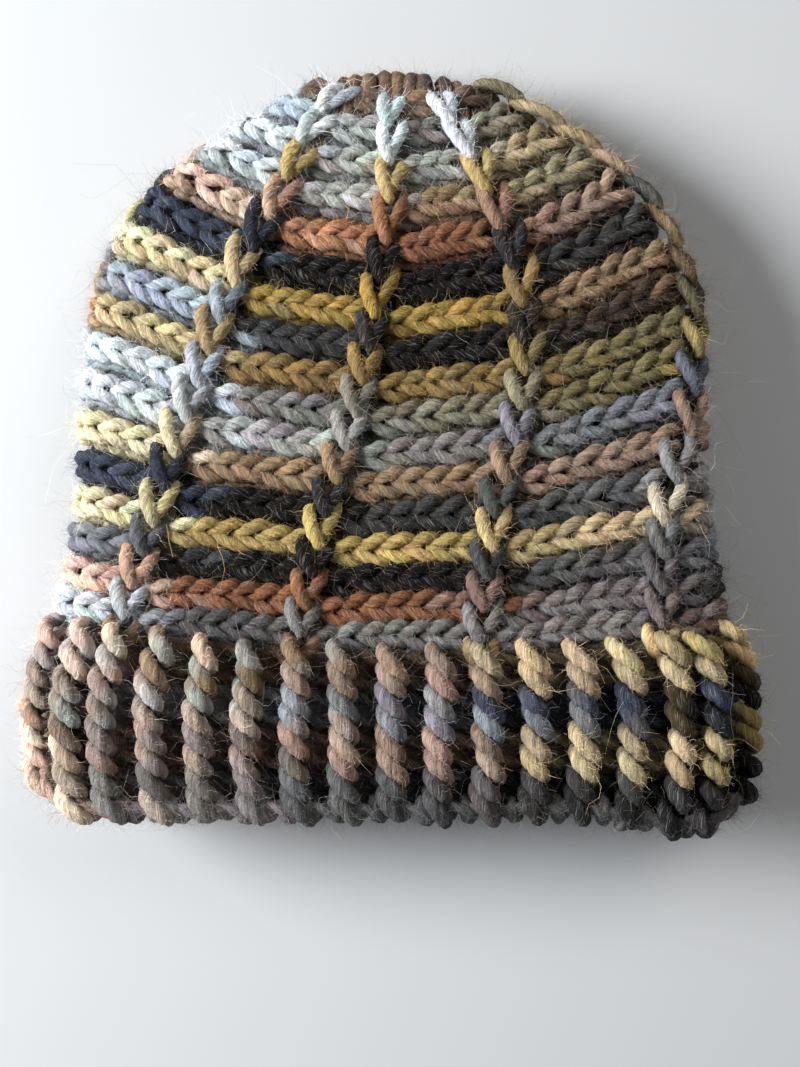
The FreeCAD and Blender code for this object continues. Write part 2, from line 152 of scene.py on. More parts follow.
# how strongly each round bends up at the sides, in 1 / mm
round_bend = through(
    (0, 0.0014), (2, 0.0020), (4, 0.0029), (8, 0.0050), (11, 0.0065), (13, 0.0088),
    (15, 0.0100), (17, 0.0150), (18, 0.018)
)
# how far each round lies higher on the left, in mm for a mm
round_lean = through((0, 0.018), (8, 0.02), (12, 0.045), (15, 0.05), (18, 0.02))

# where the columns stand round the hat against the distance from the mouth, in turns
column_drift = through(
    (40, -0.066), (60, -0.060), (87, -0.048), (110, -0.032), (130, -0.021), (160, -0.012),
    (190, -0.010), (210, -0.022), (CROWN_TIP, -0.030)
)
# how far the columns draw together on both faces, in turns
column_pinch = through((110, 0.0), (150, 0.010), (178, 0.026), (200, 0.030), (CROWN_TIP, 0.022))


def slot(half_width, half_height, turn):
    """A point on a slot outline: turn 0 is the left fold, 0.25 the front, 0.5 the right fold."""
    turn = turn % 1
    lower = turn > 0.5
    share = np.where(lower, 1 - turn, turn)
    flat = 2 * (half_width - half_height)
    end = pi * half_height / 2
    s = share * 2 * (flat + 2 * end)
    left = s < end
    right = s > end + flat
    angle = np.where(left, s / half_height, (s - end - flat) / half_height)
    x = np.where(
        left,
        -flat / 2 - half_height * np.cos(angle),
        np.where(right, flat / 2 + half_height * np.sin(angle), s - end - flat / 2),
    )
    z = np.where(
        left,
        half_height * np.sin(angle),
        np.where(right, half_height * np.cos(angle), half_height + 0 * s),
    )
    return x, np.where(lower, -z, z)


SETTLE_STEPS = 14


def settle(line, width, thickness, turn):
    """Solve for the place on the hat where the curved line of a round meets a turn."""
    along = line(np.zeros_like(turn))
    for _ in range(SETTLE_STEPS):
        x, z = slot(width(along), thickness(along), turn)
        along = (along + line(x)) / 2      # half way, so that it doesn't swing
    x, z = slot(width(along), thickness(along), turn)
    z = z * (1 + BULGE * (1 - (x / width(along)) ** 2))
    return x, along, z


def round_rise(row, x):
    """How the line of a round climbs away from the centre line of the hat."""
    bend = round_bend(row)
    return bend * x * x / 2 * (1 + (bend * x) ** 2 / 4) - round_lean(row) * x


CROWDING = 2.0                     # mm over which the rounds crowd at the tip


def body_surface(row, turn):
    """A point on the fabric of the body or crown, at a row number and a turn."""
    row, turn = np.broadcast_arrays(np.asarray(row, float), np.asarray(turn, float))

    def line(x):
        # the rounds crowd together where they meet the tip of the crown
        left = (CROWN_TIP - round_line(row) - round_rise(row, x)) / CROWDING
        return CROWN_TIP - CROWDING * np.logaddexp(0, left)

    x, along, z = settle(line, body_width, body_thickness, turn)
    return np.stack([x + crown_shift(along), MOUTH + along, body_middle(along) + z], -1)


CORNER = 88.0                      # the brim's edge lifts beyond this X, where it turns round the fold
CORNER_REACH = 22.0
CORNER_LIFT = 13.0
DROOP_START = 52.0                 # its right corner hangs lower from this X on
DROOP_REACH = 40.0
DROOP = 5.0
EDGE_START = -0.5
BRIM_TOP_ROW = 0.42                # the brim ends a little above the centre line of round 0


def brim_line(level, x):
    """Distance from the mouth edge of a level of the brim: 0 is its edge, 4 its top."""
    lift = CORNER_LIFT * ease((np.abs(x) - CORNER) / CORNER_REACH) ** 2
    edge = EDGE_START + lift - DROOP * ease((x - DROOP_START) / DROOP_REACH)
    row = np.full_like(x, BRIM_TOP_ROW)
    top = round_line(row) + round_rise(row, x)
    return edge + (top - edge) * level / BRIM_ROUNDS


def brim_surface(level, turn):
    """A point on the fabric of the brim between its ribs."""
    level, turn = np.broadcast_arrays(np.asarray(level, float), np.asarray(turn, float))

    def line(x):
        return brim_line(level, x)

    x, along, z = settle(line, brim_width, brim_thickness, turn)
    return np.stack([x, MOUTH + along, MIDDLE + z], -1)


STEP = 1e-3                        # rows and turns between the samples that give a surface's slopes


def measure(surface, row, turn):
    """The point, outward normal and mm per row and per turn of a surface."""
    point = surface(row, turn)
    along = (surface(row + STEP, turn) - surface(row - STEP, turn)) / (2 * STEP)
    around = (surface(row, turn + STEP) - surface(row, turn - STEP)) / (2 * STEP)
    normal = np.cross(around, along)
    normal /= np.linalg.norm(normal, axis=-1, keepdims=True) + 1e-9
    return point, normal, np.linalg.norm(along, axis=-1), np.linalg.norm(around, axis=-1)


def fabric_turn(share, along):
    """Where a share of the way round the stitches lies, in turns; column n is at share n / 8."""
    turn = share + column_drift(along)
    return turn + column_pinch(along) * np.sin(4 * pi * turn)


# ---------------------------------------------------------------- colours of the yarn

PALETTE = {
    # the whitish colours are the yarn's own paler colour with painted light from the window side on top
    "whitish_orange_with_painted_light": (0.92, 0.66, 0.52),
    "orange": (0.50, 0.235, 0.120),
    "rust": (0.31, 0.135, 0.065),
    "tan": (0.38, 0.250, 0.145),
    "gold_tan": (0.34, 0.220, 0.075),
    "pink_tan": (0.42, 0.290, 0.215),
    "brown": (0.200, 0.130, 0.090),
    "dark_brown": (0.060, 0.040, 0.027),
    "whitish_yellow_with_painted_light": (0.90, 0.80, 0.52),
    "gold": (0.48, 0.315, 0.080),
    "yellow": (0.56, 0.405, 0.145),
    "pale_yellow": (0.64, 0.46, 0.20),
    "cream": (0.64, 0.50, 0.29),
    "olive": (0.23, 0.190, 0.085),
    "pale_olive": (0.40, 0.345, 0.210),
    "grey_olive": (0.30, 0.275, 0.190),
    "grey": (0.275, 0.265, 0.240),
    "pink_grey": (0.27, 0.240, 0.230),
    "slate": (0.130, 0.125, 0.122),
    "dark_grey": (0.052, 0.050, 0.048),
    "light_grey": (0.50, 0.50, 0.47),
    "blue_grey": (0.27, 0.280, 0.300),
    "whitish_blue_with_painted_light": (0.82, 0.89, 0.94),
    "pale_blue": (0.55, 0.63, 0.72),
    "navy": (0.055, 0.066, 0.098),
    "black": (0.010, 0.008, 0.007),
}

# colour of each round in the eight spaces between columns: four on the front from left to right,
# then four on the back from right to left
# the first space, at the left of the front, is paler in every round: partly the yarn's own colour and
# partly painted light from the window side
ROUND_COLOURS = (
    ("tan", "brown", "tan", "pale_yellow", "cream", "tan", "orange", "tan"),
    ("whitish_blue_with_painted_light", "slate", "grey", "pink_grey", "brown", "tan", "grey", "blue_grey"),
    ("whitish_orange_with_painted_light", "rust", "rust", "pink_grey", "dark_grey", "black", "navy", "rust"),
    ("blue_grey", "black", "black", "slate", "blue_grey", "grey", "tan", "navy"),
    ("whitish_yellow_with_painted_light", "yellow", "yellow", "cream", "light_grey", "pale_blue", "tan", "yellow"),
    ("navy", "black", "dark_grey", "slate", "light_grey", "grey", "olive", "black"),
    ("whitish_yellow_with_painted_light", "tan", "tan", "pink_tan", "tan", "rust", "brown", "tan"),
    ("whitish_blue_with_painted_light", "light_grey", "grey", "blue_grey", "navy", "black", "dark_grey", "blue_grey"),
    ("whitish_blue_with_painted_light", "grey", "grey_olive", "olive", "yellow", "pale_yellow", "tan", "light_grey"),
    ("cream", "gold_tan", "gold_tan", "olive", "dark_grey", "black", "navy", "orange"),
    ("pale_blue", "dark_grey", "black", "dark_brown", "tan", "orange", "rust", "brown"),
    ("whitish_yellow_with_painted_light", "gold", "gold", "tan", "olive", "grey_olive", "grey", "yellow"),
    ("navy", "black", "black", "dark_grey", "grey", "blue_grey", "navy", "black"),
    ("whitish_orange_with_painted_light", "orange", "rust", "pink_tan", "cream", "pale_yellow", "tan", "rust"),
    ("whitish_blue_with_painted_light", "light_grey", "tan", "pale_olive", "tan", "pink_tan", "brown", "grey"),
    ("whitish_blue_with_painted_light", "light_grey", "light_grey", "cream", "olive", "grey", "blue_grey", "navy"),
    ("pale_blue", "light_grey", "grey", "grey_olive", "olive", "brown", "tan", "grey"),
    ("brown", "brown", "tan", "brown", "olive", "brown", "tan", "brown"),
    ("brown", "tan", "brown", "tan", "brown", "brown", "rust", "brown"),
)
# the same for the brim, from its edge upwards
# the paler colours in its first space are partly the yarn's own and partly painted light from the window
# side
BRIM_COLOURS = (
    ("pink_tan", "pink_grey", "slate", "slate", "slate", "dark_grey", "brown", "orange"),
    ("whitish_orange_with_painted_light", "pink_grey", "slate", "dark_grey", "black", "navy", "grey", "rust"),
    ("pink_tan", "pink_tan", "pink_tan", "cream", "yellow", "tan", "grey", "orange"),
    ("light_grey", "light_grey", "blue_grey", "navy", "black", "black", "dark_grey", "grey"),
    ("whitish_orange_with_painted_light", "tan", "pink_tan", "cream", "pale_yellow", "yellow", "brown", "tan"),
)


MELT = 0.44                        # share of a space over which one colour turns into the next


def colour_at(names, share):
    """The yarn's colour at a share of the way round, melting from one space to the next."""
    table = np.array([PALETTE[name] for name in names])
    place = np.asarray(share) * COLUMNS - 0.5
    low = np.floor(place).astype(int)
    blend = ease((place - low - (1 - MELT) / 2) / MELT)[..., None]
    return table[low % COLUMNS] * (1 - blend) + table[(low + 1) % COLUMNS] * blend


def marled(share, spread=0.02):
    """Shift where each strand takes its colour from, so neighbouring colours mix."""
    return (share + spread * rng.normal(size=np.shape(share))) % 1


def vary(colours, spread=0.12):
    """Give every strand its own lightness and a slight shift of hue."""
    one = (len(colours),) + (1,) * (colours.ndim - 1)
    light = 1 + spread * rng.normal(size=one)
    hue = 1 + 0.035 * rng.normal(size=one[:-1] + (3,))
    return np.clip(colours * light * hue, 0.004, 0.95)


# ---------------------------------------------------------------- strands


def smooth(keys, count):
    """A smooth path of count points through the key points of a strand (Catmull-Rom)."""
    keys = np.array(keys, float)
    padded = np.vstack([2 * keys[0] - keys[1], keys, 2 * keys[-1] - keys[-2]])
    where = np.linspace(0, len(keys) - 1, count)
    i = np.minimum(where.astype(int), len(keys) - 2)
    t = (where - i)[:, None]
    a, b, c, d = (padded[i + n] for n in range(4))
    return 0.5 * (
        2 * b + (c - a) * t + (2 * a - 5 * b + 4 * c - d) * t ** 2
        + (3 * b - a - 3 * c + d) * t ** 3
    )


# strand shapes as key points: along the round, across it and off the fabric.
# The two legs of a crochet stitch open towards the right, and the next stitch grips their ends.
# Their first number is in stitches, the others in mm.
UPPER_LEG = (
    (-0.26, -0.3, -1.4), (0.02, 0.2, 0.4), (0.38, 1.5, 1.7), (0.76, 2.9, 2.0),
    (1.08, 3.1, 0.9), (1.30, 2.2, -1.2),
)
LOWER_LEG = (
    (-0.26, -0.5, -1.4), (0.02, -0.9, 0.3), (0.40, -2.0, 1.3), (0.84, -2.9, 1.5),
    (1.18, -2.8, 0.4), (1.42, -1.9, -1.5),
)
THIRD_LOOP = (
    (-0.15, -4.4, -2.6), (0.20, -5.0, -1.5), (0.55, -5.3, -1.1), (0.90, -5.1, -1.5),
    (1.20, -4.5, -2.6),
)
# a post stitch of a raised column: a V that points down, all in mm
COLUMN_LEFT = (
    (-2.9, 13.4, 0.4), (-3.5, 10.8, 2.6), (-3.3, 7.8, 4.4), (-2.3, 4.8, 5.1),
    (-0.8, 2.0, 4.6), (0.5, -0.2, 2.4),
)
COLUMN_RIGHT = (
    (4.6, 12.8, -0.6), (4.5, 10.8, 1.8), (3.7, 8.4, 3.8), (2.2, 6.0, 4.3),
    (0.6, 3.8, 3.6), (-0.5, 2.0, 1.6),
)
# a rib of the brim is a rope: in every round two strands, one above the other, slant down to the
# right and dive under the next ones
RIB_STRAND = (
    (-2.5, 5.2, -1.0), (-2.6, 3.4, 2.2), (-1.6, 1.2, 4.4), (0.4, -1.0, 4.8),
    (2.1, -3.2, 3.2), (2.6, -5.2, -0.4),
)
GAP_HIGH = ((-5.4, 3.4, -2.4), (-2.4, 4.4, -1.6), (1.2, 3.4, -1.2), (5.4, 1.2, -2.4))
GAP_LOW = ((-5.2, -1.6, -2.4), (-2.0, -2.8, -1.4), (1.6, -3.6, -1.3), (5.4, -2.6, -2.4))

STRAND_POINTS = 15
STRAND_SIDES = 12
PLIES = 3
PLY_DEPTH = 0.095                  # how deep the grooves between plies are, against the radius
PLY_LENGTH = 13.0                  # mm of yarn for one turn of its plies
LEG_RADIUS = 1.85
THIRD_RADIUS = 1.35
COLUMN_RADIUS = 2.05
RIB_RADIUS = 2.45
GAP_RADIUS = 1.55


TIGHTEST = 7.0                     # mm between rounds below which stitches get flatter, not longer
PLACE_WOBBLE = (0.30, 0.28, 0.22)  # mm along the round, across it and off the fabric
SIZE_WOBBLE = 0.05
SLANT_WOBBLE = 0.05


def lay(surface, row, turn, shape, stretch=None, wobble=1.0, mirror=1.0):
    """Lay one strand of a shape at every (row, turn); gives paths and outward normals.

    stretch turns the shape's first number into mm, and mirror=-1 lays it on the inner side.
    """
    path = smooth(shape, STRAND_POINTS)
    count = len(turn)
    stretch = np.ones(count) if stretch is None else stretch
    shift = wobble * rng.normal(size=(count, 3)) * PLACE_WOBBLE
    size = 1 + SIZE_WOBBLE * wobble * rng.normal(size=(count, 1))
    slant = SLANT_WOBBLE * wobble * rng.normal(size=(count, 1))
    x = path[:, 0] * stretch[:, None] * size + shift[:, :1]
    y = path[:, 1] * size + shift[:, 1:2] + slant * x
    h = path[:, 2] + shift[:, 2:3]
    _, _, row_mm, turn_mm = measure(surface, row, turn)
    rows = row[:, None] + y / np.maximum(row_mm, TIGHTEST)[:, None]
    turns = turn[:, None] + x / turn_mm[:, None]
    point, normal, _, _ = measure(surface, rows, turns)
    return point + normal * (h * mirror)[..., None], normal * mirror


TABLE_GAP = 0.35                   # half the height over which strands flatten onto the table
LOWEST = 0.05
RELIEF_LEFT = 0.02                 # mm that keep pressed strands from being quite flat


def above_table(points):
    """Press anything that would sink into the table flat onto it."""
    z = points[..., 2]
    low = z < 2 * TABLE_GAP
    pressed = TABLE_GAP * (1 + np.tanh((z - TABLE_GAP) / TABLE_GAP)) + RELIEF_LEFT
    points[..., 2] = np.where(low, np.clip(pressed, LOWEST, 2 * TABLE_GAP), z)
    return points


THIN_END = 0.72                    # thickness of a strand towards its ends, against its middle
FLATNESS = 1.04                    # strands are a little wider than high
GROOVE_SHADE = 0.72
UNDER_SHADE = 0.42
BATCH_TALL = 0.14                  # share of the UV sheet for one batch of strands
BATCH_GAP = 0.02
STRAND_SHEET = 0.98                # the rest is for the fibres


class Piece:
    """Collects tubes, bands and fibres of one round, column or rib group as a single mesh."""

    YARN, GROUND, FIBRE = 0, 1, 2

    def __init__(self, name):
        self.name = name
        self.vertices, self.faces, self.uvs = [], [], []
        self.colours, self.grain, self.kinds = [], [], []
        self.count = 0
        self.roots = []

    def grid(self, points, colours, grain, kind, cells, wrap=True):
        """Add grids of quads; points is (grids, long way, short way, 3), cells their UV boxes."""
        grids, long, short, _ = points.shape
        wide = short if wrap else short - 1
        first = self.count + np.arange(grids)[:, None, None] * long * short
        i = np.arange(long - 1)[None, :, None]
        j = np.arange(wide)[None, None, :]
        right = (j + 1) % short
        corners = (
            first + i * short + j,
            first + i * short + right,
            first + (i + 1) * short + right,
            first + (i + 1) * short + j,
        )
        self.faces.append(np.stack(corners, -1).reshape(-1, 4))
        u0, v0, u1, v1 = (cells[:, n, None, None] for n in range(4))
        steps = ((0, 0), (0, 1), (1, 1), (1, 0))
        uv = []
        for down, across in steps:
            u = u0 + (u1 - u0) * (i + down) / (long - 1) + 0 * j
            v = v0 + (v1 - v0) * (j + across) / wide + 0 * i
            uv.append(np.stack(np.broadcast_arrays(u, v), -1))
        self.uvs.append(np.stack(uv, -2).reshape(-1, 2))
        self.vertices.append(points.reshape(-1, 3))
        self.colours.append(np.broadcast_to(colours, points.shape).reshape(-1, 3))
        self.grain.append(np.broadcast_to(grain, points.shape).reshape(-1, 3))
        self.kinds.append(np.full(grids * (long - 1) * wide, kind))
        self.count += grids * long * short

    def tubes(self, paths, normals, radius, colours, sides=STRAND_SIDES):
        """Sweep plied yarn along paths (strands, points, 3); one colour per strand or point."""
        strands, points, _ = paths.shape
        tangent = np.gradient(paths, axis=1)
        tangent /= np.linalg.norm(tangent, axis=-1, keepdims=True) + 1e-9
        side = np.cross(tangent, normals)
        side /= np.linalg.norm(side, axis=-1, keepdims=True) + 1e-9
        up = np.cross(side, tangent)
        step = np.linalg.norm(np.diff(paths, axis=1), axis=-1)
        length = np.concatenate([np.zeros((strands, 1)), np.cumsum(step, axis=1)], axis=1)
        share = length / (length[:, -1:] + 1e-9)
        # a strand is full in its middle and closes at both hidden ends
        body = THIN_END + (1 - THIN_END) * np.sin(pi * np.clip(share, 0, 1)) ** 0.7
        ends = np.clip(np.minimum(share, 1 - share) * 22, 0.04, 1) ** 0.5
        angle = np.arange(sides) / sides * 2 * pi
        start = rng.uniform(0, 2 * pi, size=(strands, 1))
        twist = (length / PLY_LENGTH * 2 * pi + start)[..., None]
        lobes = np.cos(PLIES * (angle - twist))
        size = (radius * body * ends)[..., None] * (1 + PLY_DEPTH * lobes)
        ring = (
            np.cos(angle)[:, None] * up[:, :, None, :]
            + np.sin(angle)[:, None] * side[:, :, None, :] * FLATNESS
        )
        skin = above_table(paths[:, :, None, :] + ring * size[..., None])
        # the grain's first number runs along the strand, and every strand has its own stretch of it
        local = angle - twist
        grain = np.stack(
            [
                np.broadcast_to(length[..., None] + 31 * start[..., None], size.shape),
                size * np.cos(local),
                size * np.sin(local),
            ],
            -1,
        )
        # painted shade: grooves between plies and the side turned to the fabric are darker
        facing = np.clip(np.cos(angle) * 0.5 + 0.5, 0, 1)
        groove = GROOVE_SHADE + (1 - GROOVE_SHADE) * (lobes * 0.5 + 0.5)
        under = UNDER_SHADE + (1 - UNDER_SHADE) * ease(facing * 1.25)
        shade = groove * under
        if colours.ndim == 2:
            colours = np.repeat(colours[:, None], points, axis=1)
        tint = colours[:, :, None, :] * shade[..., None]
        self.grid(skin, tint, grain, self.YARN, self.cells(strands))
        self.roots.append((paths, normals, tangent, radius, colours))

    def cells(self, count):
        """UV boxes for a batch of strands; batches share the sheet in turn."""
        # a strand's box is about four times as wide as it is tall
        columns = max(1, int(np.ceil(np.sqrt(count / 4))))
        rows = int(np.ceil(count / columns))
        index = np.arange(count)
        u = (index % columns) / columns
        v = (index // columns) / rows
        low = (BATCH_TALL * len(self.uvs) + BATCH_GAP) % STRAND_SHEET
        tall = min(BATCH_TALL - BATCH_GAP, 0.995 - low)
        return np.stack(
            [u + 0.004, low + v * tall, u + 0.96 / columns, low + (v + 0.9 / rows) * tall], -1
        )

    def build(self, body, *nodes):
        """Make the Blender mesh, and let it ride on its body in place of the CAD nodes."""
        vertices = np.concatenate(self.vertices) * MM
        faces = np.concatenate(self.faces)
        mesh = bpy.data.meshes.new(self.name)
        mesh.vertices.add(len(vertices))
        mesh.vertices.foreach_set("co", vertices.astype(np.float32).ravel())
        mesh.loops.add(faces.size)
        mesh.loops.foreach_set("vertex_index", faces.astype(np.int32).ravel())
        mesh.polygons.add(len(faces))
        mesh.polygons.foreach_set("loop_start", np.arange(0, faces.size, 4, dtype=np.int32))
        mesh.polygons.foreach_set(
            "material_index", np.concatenate(self.kinds).astype(np.int32)
        )
        mesh.polygons.foreach_set("use_smooth", np.ones(len(faces), bool))
        colours = np.concatenate(self.colours)
        rgba = np.concatenate([colours, np.ones((len(colours), 1))], 1)
        layer = mesh.color_attributes.new("yarn_colour", "FLOAT_COLOR", "POINT")
        layer.data.foreach_set("color", rgba.astype(np.float32).ravel())
        layer = mesh.attributes.new("grain", "FLOAT_VECTOR", "POINT")
        layer.data.foreach_set("vector", np.concatenate(self.grain).astype(np.float32).ravel())
        layer = mesh.uv_layers.new(name="OFBake")
        layer.data.foreach_set("uv", np.concatenate(self.uvs).astype(np.float32).ravel())
        for material in YARNS:
            mesh.materials.append(material)
        mesh.update(calc_edges=True)
        mesh.validate()
        piece = bpy.data.objects.new(self.name, mesh)
        bpy.context.scene.collection.objects.link(piece)
        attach(piece, body)
        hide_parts(*nodes)
        return piece


# ---------------------------------------------------------------- the ground of the fabric

BAND_SAMPLES = 280
OUTER_DEPTH = 1.7                  # the ground lies this far under the strands
FABRIC = 7.0                       # thickness of the fabric
INNER_BUMP = 0.55
OUTER_BUMP = 0.3
BUMP_PITCH = 6.8
# painted shade on the inner side of the fabric, inside the hat
INNER_SHADE = 0.55


def add_band(piece, surface, low, high, colours, thin=None, shade=0.16):
    """The dense ground of one round: a closed ring between two rows, outside to inside.

    thin gives how thick it may be along the hat, and shade is the painted shade that darkens its outer
    side.
    """
    outline = np.array(
        [
            (0.00, OUTER_DEPTH + 0.5), (0.22, OUTER_DEPTH), (0.5, OUTER_DEPTH - 0.25),
            (0.78, OUTER_DEPTH), (1.0, OUTER_DEPTH + 0.5),
            (1.0, FABRIC - 0.9), (0.75, FABRIC - 0.1), (0.5, FABRIC + 0.2), (0.25, FABRIC - 0.1),
            (0.0, FABRIC - 0.9),
        ]
    )
    share = np.arange(BAND_SAMPLES + 1) / BAND_SAMPLES
    row = low + (high - low) * outline[:, 0]
    rows = np.broadcast_to(row, (BAND_SAMPLES + 1, len(row)))
    turns = np.broadcast_to(share[:, None], rows.shape)
    point, normal, _, turn_mm = measure(surface, rows, turns)
    depth = np.broadcast_to(outline[:, 1], rows.shape).copy()
    if thin is not None:
        depth = np.minimum(depth, thin(point[..., 1] - MOUTH))
    place = share[:, None] * turn_mm
    inner = outline[:, 1] > FABRIC / 2
    # the wrong side of the fabric shows the backs of the stitches as small bumps
    bump = np.where(inner, INNER_BUMP, OUTER_BUMP)
    depth = depth + bump * np.sin(place * 2 * pi / BUMP_PITCH + low * 2.1)
    skin = above_table(point - normal * depth[..., None])
    # painted shade: the ground is drawn darker than its yarn, outside where it lies between the strands
    # and inside the hat
    tint = colour_at(colours, turns) * np.where(inner, INNER_SHADE, shade)[None, :, None]
    grain = np.stack([place, rows * ROUND_PITCH, depth], -1)
    cell = np.array([[0.0, 0.0, 1.0, 0.019]])
    piece.grid(skin[None], tint[None], grain[None], Piece.GROUND, cell)


# ---------------------------------------------------------------- loose fibres

HALO = 1.0    # share of the fibres that is grown
FIBRE_ROOM = 7.0                   # mm that fibres may reach past the frame's box
FIBRE_LOW = np.array([cad_low.x / MM - FIBRE_ROOM, cad_low.y / MM - FIBRE_ROOM, -FIBRE_ROOM])
FIBRE_HIGH = np.array(cad_high) / MM + FIBRE_ROOM
FIBRE_PALE = np.array((0.62, 0.60, 0.56))
FIBRE_BRIGHTER = 1.35              # painted light: single fibres are drawn brighter than the strand, for the light they let through
FIBRE_FLOOR = 0.25                 # mm above the table
FIBRE_CELL = np.array([[0.0, 0.985, 1.0, 1.0]])


def fibre_paths(root, out, forward, length, lift, points):
    """Curly paths of fibres that start at root and lean out of the yarn or along it."""
    count = len(root)
    start = out * lift + forward * rng.normal(0, 0.8, (count, 1))
    start += 0.35 * rng.normal(size=(count, 3))
    start /= np.linalg.norm(start, axis=-1, keepdims=True)
    span = length * np.exp(rng.normal(0, 0.45, (count, 1)))
    curl = np.cross(start, rng.normal(size=(count, 3))) * rng.uniform(0.2, 1.1, (count, 1))
    wave = np.cross(start, rng.normal(size=(count, 3))) * 0.14
    t = np.linspace(0, 1, points)[None, :, None]
    phase = rng.uniform(0, 2 * pi, (count, 1, 1))
    travel = span[:, None] * (
        start[:, None] * t
        + curl[:, None] * t * t * 0.55
        + wave[:, None] * (np.sin(t * 7 + phase) - np.sin(phase))
    )
    # a fibre that would leave the room round the hat is shorter
    room = np.where(travel > 0, FIBRE_HIGH - root[:, None], root[:, None] - FIBRE_LOW)
    share = np.clip((room / (np.abs(travel) + 1e-6)).min(axis=(1, 2), keepdims=True), 0, 1)
    path = root[:, None] + travel * share
    path[..., 2] = np.maximum(path[..., 2], FIBRE_FLOOR)
    return path


def add_fibres(piece, count, length, width, lift, paleness, points=4):
    """Grow fibres out of a piece's strands as fine ribbons with their own lengths and curls.

    lift is how far they stand out of the yarn instead of following it, and paleness is the share
    of them that is pale wool instead of the strand's own colour.
    """
    weights = np.array([root[0].shape[0] for root in piece.roots], float)
    which = rng.choice(len(weights), size=count, p=weights / weights.sum())
    for number, (paths, normals, tangents, thick, colours) in enumerate(piece.roots):
        here = int((which == number).sum())
        if here == 0:
            continue
        strand = rng.integers(0, paths.shape[0], here)
        point = rng.integers(2, paths.shape[1] - 2, here)
        up = normals[strand, point]
        forward = tangents[strand, point]
        side = np.cross(forward, up)
        tilt = rng.normal(0, 0.8, (here, 1))
        out = np.cos(tilt) * up + np.sin(tilt) * side
        root = paths[strand, point] + out * thick * 0.9 + forward * rng.normal(0, 0.3, (here, 1))
        path = fibre_paths(root, out, forward, length, lift, points)
        tangent = np.gradient(path, axis=1)
        tangent /= np.linalg.norm(tangent, axis=-1, keepdims=True) + 1e-9
        across = np.cross(tangent, rng.normal(size=(here, 1, 3)))
        across /= np.linalg.norm(across, axis=-1, keepdims=True) + 1e-9
        # a ribbon narrows towards its tip
        half = width / 2 * (1 - 0.7 * np.linspace(0, 1, points)[None, :, None])
        skin = np.stack([path - across * half, path + across * half], axis=2)
        pale = rng.random((here, 1)) < paleness
        light = np.where(pale, rng.uniform(0.35, 0.95, (here, 1)), 0.03)
        own = colours[strand, point]
        # pale wool is less pale where the yarn round it is dark
        pale_wool = FIBRE_PALE * (0.2 + 0.8 * np.sqrt(own.mean(axis=-1, keepdims=True)))
        tint = own * FIBRE_BRIGHTER * (1 - light) + pale_wool * light
        cell = np.tile(FIBRE_CELL, (here, 1))
        piece.grid(skin, tint[:, None, None, :], skin * 0 + 1.0, Piece.FIBRE, cell, wrap=False)


def add_fuzz(piece, paleness=0.22, plenty=1.0):
    """The usual coat of a piece: a dense short nap, loose hairs and a few long stray fibres.

    Raised and rubbed pieces have more hairs: plenty multiplies them.  Counts are for each strand.
    """
    strands = sum(root[0].shape[0] for root in piece.roots) * HALO
    add_fibres(piece, int(54 * strands), 1.7, 0.10, 0.8, paleness * 0.12, points=3)
    add_fibres(piece, int(13 * plenty * strands), 3.6, 0.08, 0.8, paleness * 0.9)
    add_fibres(piece, int(1.8 * plenty * strands), 8.0, 0.08, 0.9, paleness + 0.3, points=6)


# ---------------------------------------------------------------- materials


def node(tree, kind, **settings):
    """Add a shader node and set its properties and default inputs."""
    made = tree.nodes.new(kind)
    for name, value in settings.items():
        if hasattr(made, name):
            setattr(made, name, value)
        else:
            made.inputs[name.replace("_", " ")].default_value = value
    return made


def remap(tree, source, start, end, low, high):
    """Spread a node's output between start and end over low to high."""
    made = node(tree, "ShaderNodeMapRange")
    for name, value in (("From Min", start), ("From Max", end), ("To Min", low), ("To Max", high)):
        made.inputs[name].default_value = value
    tree.links.new(source, made.inputs["Value"])
    return made.outputs["Result"]


LONG_GRAIN = (0.14, 1.0, 1.0)      # draws the noise out along the strand
PALE_STREAK = (0.60, 0.58, 0.55, 1)


